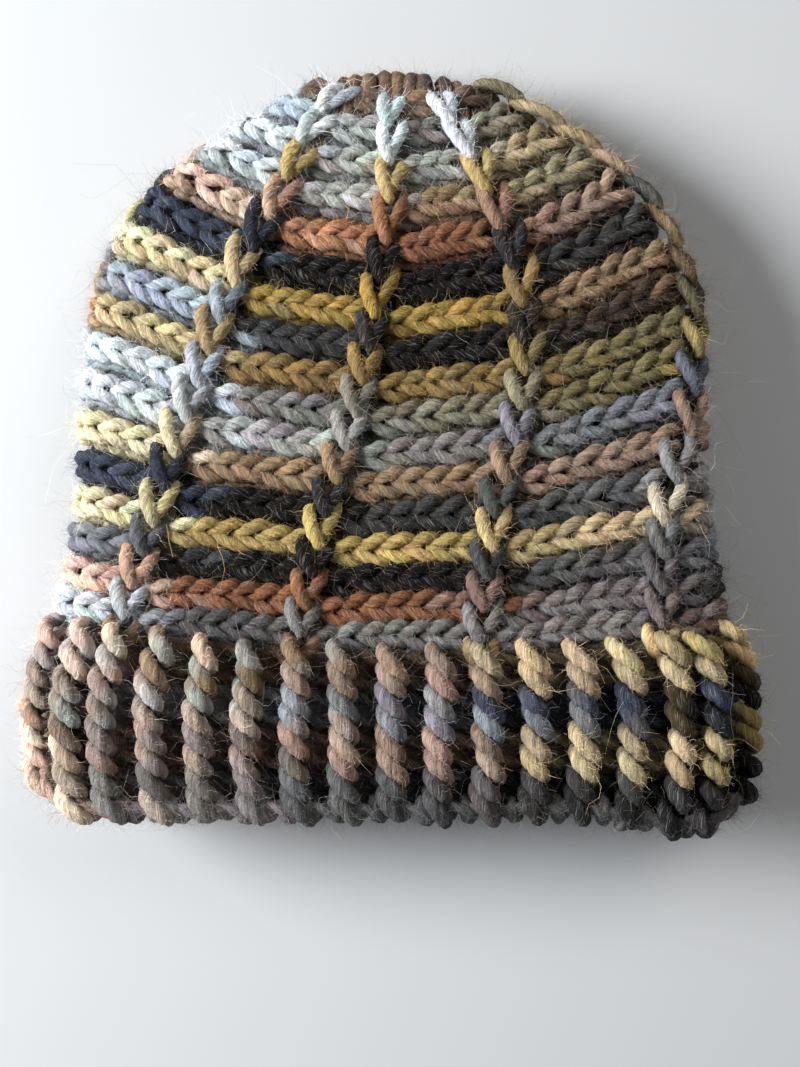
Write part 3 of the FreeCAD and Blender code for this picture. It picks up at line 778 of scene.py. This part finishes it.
def yarn_material(name, streak, fuzz, bump, roughness, sheen, pale):
    """Wool yarn: colour from the strand, fibre streaks that follow its twist, fuzz and sheen."""
    material = bpy.data.materials.new(name)
    material.use_nodes = True
    tree = material.node_tree
    tree.nodes.clear()
    link = tree.links.new
    output = node(tree, "ShaderNodeOutputMaterial")
    shader = node(tree, "ShaderNodeBsdfPrincipled")
    colour = node(tree, "ShaderNodeAttribute", attribute_name="yarn_colour")
    grain = node(tree, "ShaderNodeAttribute", attribute_name="grain")
    place = node(tree, "ShaderNodeTexCoord")
    stretch = node(tree, "ShaderNodeVectorMath", operation="MULTIPLY")
    stretch.inputs[1].default_value = LONG_GRAIN
    fibres = node(tree, "ShaderNodeTexNoise", Scale=1.7, Detail=4.0, Roughness=0.7)
    strays = node(tree, "ShaderNodeTexNoise", Scale=2.6, Detail=2.0, Roughness=0.5)
    felt = node(tree, "ShaderNodeTexNoise", Scale=900.0, Detail=3.0, Roughness=0.6)
    mottle = node(tree, "ShaderNodeTexNoise", Scale=170.0, Detail=2.0, Roughness=0.5)
    link(grain.outputs["Vector"], stretch.inputs[0])
    for noise in (fibres, strays):
        link(stretch.outputs["Vector"], noise.inputs["Vector"])
    for noise in (felt, mottle):
        link(place.outputs["Object"], noise.inputs["Vector"])

    # the strand's colour, streaked along its twist and mottled in patches
    both = node(tree, "ShaderNodeMath", operation="MULTIPLY")
    link(remap(tree, fibres.outputs["Fac"], 0.3, 0.7, 1.0 - streak, 1.0 + streak), both.inputs[0])
    link(remap(tree, mottle.outputs["Fac"], 0.3, 0.7, 0.78, 1.20), both.inputs[1])
    shade = node(tree, "ShaderNodeVectorMath", operation="SCALE")
    link(colour.outputs["Color"], shade.inputs[0])
    link(both.outputs["Value"], shade.inputs["Scale"])

    # single pale fibres that run along the strand
    blend = node(tree, "ShaderNodeMix", data_type="RGBA")
    blend.inputs["B"].default_value = PALE_STREAK
    link(remap(tree, strays.outputs["Fac"], 0.57, 0.72, 0.0, pale), blend.inputs["Factor"])
    link(shade.outputs["Vector"], blend.inputs["A"])
    link(blend.outputs["Result"], shader.inputs["Base Color"])

    # felted roughness, and relief from the felt and the streaks together
    felted = remap(tree, felt.outputs["Fac"], 0.0, 1.0, roughness - 0.12, roughness + 0.1)
    link(felted, shader.inputs["Roughness"])
    relief = node(tree, "ShaderNodeMath", operation="MULTIPLY_ADD")
    relief.inputs[1].default_value = fuzz
    link(felt.outputs["Fac"], relief.inputs[0])
    link(fibres.outputs["Fac"], relief.inputs[2])
    bumps = node(tree, "ShaderNodeBump", Strength=bump, Distance=0.0009)
    link(relief.outputs["Value"], bumps.inputs["Height"])
    link(bumps.outputs["Normal"], shader.inputs["Normal"])

    shader.inputs["Sheen Weight"].default_value = sheen
    shader.inputs["Sheen Roughness"].default_value = 0.45
    shader.inputs["Specular IOR Level"].default_value = 0.10
    link(shader.outputs["BSDF"], output.inputs["Surface"])
    return material


yarn = yarn_material("plied_wool_yarn", 0.66, 0.9, 1.0, 0.88, 0.02, 0.30)
ground = yarn_material("fabric_ground", 0.40, 0.8, 0.9, 0.88, 0.02, 0.10)
fibre = yarn_material("loose_wool_fibre", 0.10, 0.2, 0.1, 0.75, 0.05, 0.0)
YARNS = (yarn, ground, fibre)

# ---------------------------------------------------------------- body and crown rounds

SPACING = 7.0                      # width of a stitch
COLUMN_ROOM = 7.5                  # width that a column takes out of a round
BAND_OVERLAP = 0.03                # rows by which the ground of a round reaches over the next
GROUND_SHADE = 0.16                # painted shade: how dark the ground is between stitches
# lighter painted shade for the ground of the crown
CROWN_GROUND_SHADE = 0.30
DIP_RIGHT = 3.0                    # mm by which a column draws a round down on its right ...
DIP_RIGHT_REACH = 11.0
DIP_LEFT = 1.2                     # ... and on its left
DIP_LEFT_REACH = 8.0
WANDER = 0.25                      # mm by which a round wanders up and down


def perimeter(row):
    """Length round the hat along the middle of a round."""
    turns = np.linspace(0, 1, 181)
    path = body_surface(np.full(181, float(row)), turns)
    return float(np.linalg.norm(np.diff(path, axis=0), axis=-1).sum())


def along_of(row, turn):
    """Distance from the mouth edge of a point on the body."""
    return body_surface(row, turn)[..., 1] - MOUTH


def round_places(row):
    """Row numbers, turns, shares and widths of the stitches of one round."""
    space = perimeter(row) / COLUMNS
    stitches = max(1, round((space - COLUMN_ROOM) / SPACING))
    margin = COLUMN_ROOM / 2 / space
    step = (1 - 2 * margin) / stitches
    places = []
    for column in range(COLUMNS):
        for stitch in range(stitches):
            places.append((column + margin + step * (stitch + 0.02)) / COLUMNS)
    share = np.array(places)
    rows = np.full(len(share), float(row))
    turn = fabric_turn(share, along_of(rows, share))
    turn = fabric_turn(share, along_of(rows, turn))
    # each round dips where a column draws it down, most on the column's right
    beside = (share * COLUMNS) % 1 * space
    before = space - beside
    dip = DIP_RIGHT * np.exp(-((beside / DIP_RIGHT_REACH) ** 1.5))
    dip += DIP_LEFT * np.exp(-((before / DIP_LEFT_REACH) ** 1.5))
    wander = WANDER * np.sin(share * 2 * pi * 3 + row * 1.7)
    _, _, row_mm, _ = measure(body_surface, rows, turn)
    rows = rows + (wander - dip) / np.maximum(row_mm, TIGHTEST)
    return rows, turn, share, np.full(len(share), space * step)


def body_piece(row, label):
    """One round of the body or crown: ground, third loops and the two legs of every stitch."""
    piece = Piece(f"yarn_{label}")
    rows, turn, share, width = round_places(row)
    colours = ROUND_COLOURS[row]

    def thin(along):
        return np.maximum(body_thickness(along) * 0.66, OUTER_DEPTH + 0.6)

    crown = row > BODY_ROUNDS
    shade = CROWN_GROUND_SHADE if crown else GROUND_SHADE
    half = 0.5 + BAND_OVERLAP
    add_band(piece, body_surface, row - half, row + half, colours, thin, shade)
    shrink = np.interp(row, (BODY_ROUNDS, ROUNDS), (1.0, 0.82))
    # painted shade: the third loops, sunk under the legs, are drawn at half their colour and the lower
    # legs a little darker
    for shape, radius, painted_shading, sides in (
        (THIRD_LOOP, THIRD_RADIUS * (1.3 if crown else 1.0), 0.50, 8),
        (LOWER_LEG, LEG_RADIUS * 0.95, 0.95, STRAND_SIDES),
        (UPPER_LEG, LEG_RADIUS, 1.0, STRAND_SIDES),
    ):
        shape = np.array(shape) * (1, shrink, 1)
        paths, normals = lay(body_surface, rows, turn, shape, width)
        tint = colour_at(colours, marled(share))
        piece.tubes(paths, normals, radius, vary(tint * painted_shading), sides)
    add_fuzz(piece)
    return piece


UNDER_CUFF = 5                     # rounds that end up under the brim when it is turned up


def press_under_cuff(piece):
    """Give a piece that lies under the turned-up brim its own copy of its mesh."""
    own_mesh(piece)


for row in range(1, ROUNDS + 1):
    if row <= BODY_ROUNDS:
        label = f"body_round_{row:02d}"
    else:
        label = f"crown_round_{row - BODY_ROUNDS}"
    made = body_piece(row, label).build("cap", label)
    if row <= UNDER_CUFF:
        press_under_cuff(made)

# ---------------------------------------------------------------- raised columns

# the front columns run out in paler yarn towards the crown
COLUMN_TOPS = {14: "pale_yellow", 15: "whitish_blue_with_painted_light", 16: "whitish_blue_with_painted_light"}


def column_piece(number, name, first, last):
    """Part of a raised column: a V of two strands for every round from first to last."""
    piece = Piece(name)
    rows = np.arange(first, last + 1, dtype=float)
    share = np.full(len(rows), number / COLUMNS)
    turn = fabric_turn(share, along_of(rows, share))
    turn = fabric_turn(share, along_of(rows, turn))
    _, _, row_mm, _ = measure(body_surface, rows, turn)
    tint = np.array([colour_at(ROUND_COLOURS[int(row)], number / COLUMNS) for row in rows])
    if 0 < number < 4:
        for row, shade in COLUMN_TOPS.items():
            tint[rows == row] = PALETTE[shade]
    shrink = np.interp(rows, (BODY_ROUNDS, ROUNDS), (1.0, 0.92))
    tall = np.clip(row_mm / ROUND_PITCH, 0.6, 1.45)
    start = rows - 1.8 / np.maximum(row_mm, TIGHTEST)
    # painted light and shade: the right strand of each V is drawn darker and the left one lighter than
    # the round's colour
    for shape, radius, painted_shading in (
        (COLUMN_RIGHT, COLUMN_RADIUS * 0.92, 0.90),
        (COLUMN_LEFT, COLUMN_RADIUS, 1.08),
    ):
        for index in range(len(rows)):
            scaled = np.array(shape) * (shrink[index], tall[index], shrink[index])
            one = slice(index, index + 1)
            paths, normals = lay(body_surface, start[one], turn[one], scaled)
            piece.tubes(paths, normals, radius * shrink[index], vary(tint[one] * painted_shading))
    add_fuzz(piece, 0.32, 2.4)
    return piece


COLUMN_LABELS = {
    0: "column_left_fold", 1: "column_front_1", 2: "column_front_2", 3: "column_front_3",
    4: "column_right_fold", 5: "column_back_1", 6: "column_back_2", 7: "column_back_3",
}
for number, label in COLUMN_LABELS.items():
    foot = column_piece(number, f"yarn_{label}_foot", 0, UNDER_CUFF - 1)
    press_under_cuff(foot.build("cap", label))
    column_piece(number, f"yarn_{label}", UNDER_CUFF, ROUNDS - 1).build("cap", label)

# ---------------------------------------------------------------- the crown, drawn shut


def closing_piece():
    """Thick strands gathered over the tip of the crown, from the front round to the back one."""
    piece = Piece("yarn_crown_closing")
    count = 13                         # strands that show from the front
    radius = 2.5
    reach = 30.0                       # half width of the gathered end
    foot = 217.0                       # where the strands start, from the mouth edge
    drop = 0.0095                      # how the end rounds off to the sides
    place = np.linspace(-1, 1, count) + rng.normal(0, 0.02, count)
    angle = np.linspace(-0.06 * pi, 1.06 * pi, STRAND_POINTS)
    x = place[:, None] * reach * (1 - 0.10 * np.sin(angle))
    x = x + rng.normal(0, 1.4, (count, 1)) * np.cos(angle)
    tall = CROWN_TIP - foot - 0.6 + rng.normal(0, 0.7, (count, 1))
    y = foot - drop * x ** 2 + tall * np.sin(angle)
    thick = body_thickness(foot) + 3.4 - 4.5 * place[:, None] ** 2
    middle = body_middle(foot) - 1.0
    z = middle + thick * np.cos(angle) * (1 - 0.25 * np.sin(angle))
    paths = np.stack([x + crown_shift(foot), MOUTH + y, z], -1)
    normals = np.stack([0.25 * place[:, None] + 0 * x, np.sin(angle) + 0 * x, (z - middle) / 9], -1)
    normals /= np.linalg.norm(normals, axis=-1, keepdims=True)
    tint = colour_at(ROUND_COLOURS[ROUNDS + 1], marled((place + 1) / 4, 0.06))
    piece.tubes(paths, normals, radius, vary(tint, 0.2))
    add_fuzz(piece, 0.32, 2.4)
    return piece


closing_piece().build("cap", "crown_closing")

# ---------------------------------------------------------------- brim

RIB_PITCH = 14.3
RIBS_PER_FACE = 13
FOLD_PLACES = (0.775, 0.2625, -0.2625, -0.775)    # ribs round a fold, in quarter turns from it
RIB_PLACES = (0.27, 0.77)                     # the two strands of a rib's round, in rounds below its top


def rib_turns():
    """Turns of the ribs: thirteen on each face and four round each fold."""
    width, height = float(brim_width(24)), float(brim_thickness(24))
    flat = 2 * (width - height)
    end = pi * height / 2
    length = 2 * flat + 4 * end
    face = np.arange(RIBS_PER_FACE) - (RIBS_PER_FACE - 1) / 2
    front = [end + flat / 2 + RIB_PITCH * step for step in face]
    right = [2 * end + flat - end * place for place in FOLD_PLACES]
    back = [value + length / 2 for value in front]
    left = [value + length / 2 for value in right]
    return np.array(sorted((value / length) % 1 for value in front + right + back + left))


RIBS = rib_turns()
GAPS = (RIBS + np.roll(RIBS, -1) + (np.roll(RIBS, -1) < RIBS)) / 2 % 1


CLEAR_COLOURS = (0.27, 0.60)       # shares between which the brim's rounds keep their colours apart
CLEAR_MELT = 0.12
USUAL_MELT = 0.75


def brim_tint(level, turn):
    """Colours along brim strands; away from the right they melt into the next round's colour."""
    share = marled(brim_share(turn), 0.03)
    own = colour_at(BRIM_COLOURS[level], share)[:, None]
    other = colour_at(BRIM_COLOURS[max(level - 1, 1)], share)[:, None]
    clear = (share > CLEAR_COLOURS[0]) & (share < CLEAR_COLOURS[1])
    amount = np.where(clear, CLEAR_MELT, USUAL_MELT)
    phase = rng.uniform(0, 2 * pi, (len(turn), 1))
    wave = np.sin(np.linspace(0, 4, STRAND_POINTS) + phase) * 0.5 + 0.5
    blend = (ease(wave * 1.4 - 0.3) * amount[:, None])[..., None]
    return own * (1 - blend) + other * blend


BRIM_SHIFT = 0.062                 # turns by which the columns have drifted where they meet the brim


def brim_share(turn):
    """Where a turn of the brim lies among the columns, for its colours."""
    return (turn + BRIM_SHIFT) % 1


ribs = Piece("yarn_brim_ribs")
for level in range(1, BRIM_ROUNDS + 1):
    for place in RIB_PLACES:
        rows = np.full(len(RIBS), level - place)
        tint = brim_tint(level, RIBS)
        paths, normals = lay(brim_surface, rows, RIBS, RIB_STRAND, wobble=1.2)
        ribs.tubes(paths, normals, RIB_RADIUS, vary(tint, 0.14))
add_fuzz(ribs, 0.32, 1.7)
ribs.build("brim", "brim_ribs")

for level in range(1, BRIM_ROUNDS + 1):
    label = f"brim_round_{level}"
    piece = Piece(f"yarn_{label}")
    colours = BRIM_COLOURS[level]
    add_band(piece, brim_surface, level - 1 - BAND_OVERLAP, level + BAND_OVERLAP, colours)
    rows = np.full(len(GAPS), level - 0.5)
    tint = colour_at(colours, brim_share(GAPS))
    # painted shade: the strands down in the gaps between the ribs are drawn at 0.3 of the round's colour
    for shape in (GAP_HIGH, GAP_LOW):
        paths, normals = lay(brim_surface, rows, GAPS, shape, wobble=1.3)
        piece.tubes(paths, normals, GAP_RADIUS, vary(tint * 0.30, 0.2))
    # the inside of the ribbing: the gaps of the outside stand out as ribs on the inside
    inner = np.array(RIB_STRAND) * (1, 1, 0.6) + (0, 0, FABRIC)
    for place in RIB_PLACES:
        rows = np.full(len(GAPS), level - place)
        paths, normals = lay(brim_surface, rows, GAPS, inner, mirror=-1.0)
        # painted shade: the ribs on the inside are drawn a little darker than the round's colour
        piece.tubes(paths, normals, RIB_RADIUS, vary(tint * 0.9))
    add_fuzz(piece)
    piece.build("brim", label)

EDGE_LOOPS_PER_RIB = 2
EDGE_LEVEL = 0.12
EDGE_STITCH = 7.0                  # mm
EDGE_LOOP_RADIUS = 2.15
EDGE_CHAIN_RADIUS = 1.7
# the foundation round: loops that roll over the edge from the outside to the inside
EDGE_LOOP = (
    (-1.6, 4.0, -0.4), (-1.2, 1.4, 1.6), (-0.4, -1.6, 1.0), (0.4, -3.0, -1.8),
    (1.0, -2.4, -4.8), (1.4, 0.6, -6.6), (1.6, 3.2, -7.0),
)
EDGE_CHAIN = (
    (-0.2, 0.6, 0.4), (0.1, 0.9, 1.9), (0.5, 0.4, 2.5), (0.9, -0.8, 2.1), (1.25, -1.8, 0.2)
)
edge = Piece("yarn_brim_edge")
loops = EDGE_LOOPS_PER_RIB * len(RIBS)
turns = (np.arange(loops) + 0.5) / loops
rows = np.full(loops, EDGE_LEVEL)
tint = colour_at(BRIM_COLOURS[0], brim_share(turns))
paths, normals = lay(brim_surface, rows, turns, EDGE_LOOP, wobble=1.2)
edge.tubes(paths, normals, EDGE_LOOP_RADIUS, vary(tint, 0.16))
stretch = np.full(loops, EDGE_STITCH)
paths, normals = lay(brim_surface, rows, turns, EDGE_CHAIN, stretch)
edge.tubes(paths, normals, EDGE_CHAIN_RADIUS, vary(tint, 0.16))
add_fuzz(edge, 0.32, 2.4)
edge.build("brim", "brim_edge")

# ---------------------------------------------------------------- floor, light and camera

FLOOR_REACH = 1.6                  # metres
FLOOR_GREY = (0.58, 0.58, 0.58, 1)

floor_mesh = bpy.data.meshes.new("floor")
corners = [(x * FLOOR_REACH, y * FLOOR_REACH, 0) for x, y in ((-1, -1), (1, -1), (1, 1), (-1, 1))]
floor_mesh.from_pydata(corners, [], [(0, 1, 2, 3)])
floor = bpy.data.objects.new("floor", floor_mesh)
bpy.context.scene.collection.objects.link(floor)
floor_paint = bpy.data.materials.new("floor_paint")
floor_paint.use_nodes = True
floor_shader = floor_paint.node_tree.nodes["Principled BSDF"]
floor_shader.inputs["Base Color"].default_value = FLOOR_GREY
floor_shader.inputs["Roughness"].default_value = 0.8
floor_mesh.materials.append(floor_paint)


LIT_PLACE = Vector((0, 0, 0.02))


def area_light(name, place, size, power, tint):
    """A round soft light that faces the hat."""
    lamp = bpy.data.lights.new(name, "AREA")
    lamp.shape = "DISK"
    lamp.size = size
    lamp.energy = power
    lamp.color = tint
    holder = bpy.data.objects.new(name, lamp)
    holder.location = place
    aim = LIT_PLACE - Vector(place)
    holder.rotation_euler = aim.to_track_quat("-Z", "Y").to_euler()
    bpy.context.scene.collection.objects.link(holder)


area_light("window", (-0.95, 0.14, 0.60), 0.60, 27.5, (0.94, 0.97, 1.0))
area_light("room", (0.55, 0.5, 0.9), 0.6, 3.0, (1.0, 0.97, 0.93))

world = bpy.data.worlds.new("studio")
world.use_nodes = True
world.node_tree.nodes["Background"].inputs["Color"].default_value = (0.80, 0.84, 0.90, 1)
world.node_tree.nodes["Background"].inputs["Strength"].default_value = 0.16
bpy.context.scene.world = world
bpy.context.scene.view_settings.view_transform = "Standard"

# almost straight down, tipped a little so that the brim is nearer
FRAME_WIDTH = 0.244                # metres across the picture at the hat's front
PICTURE_CENTRE = Vector((0.0024, -0.0302, 0.030))
DISTANCE = 0.45
TILT = radians(2)
camera_data = bpy.data.cameras.new("camera")
camera = bpy.data.objects.new("camera", camera_data)
camera_data.sensor_fit = "HORIZONTAL"
camera_data.sensor_width = 36
camera_data.lens = 36 * DISTANCE / FRAME_WIDTH
camera.location = PICTURE_CENTRE + Vector((0, -DISTANCE * tan(TILT), DISTANCE))
camera.rotation_euler = (TILT, 0, 0)
bpy.context.scene.collection.objects.link(camera)
bpy.context.scene.camera = camera
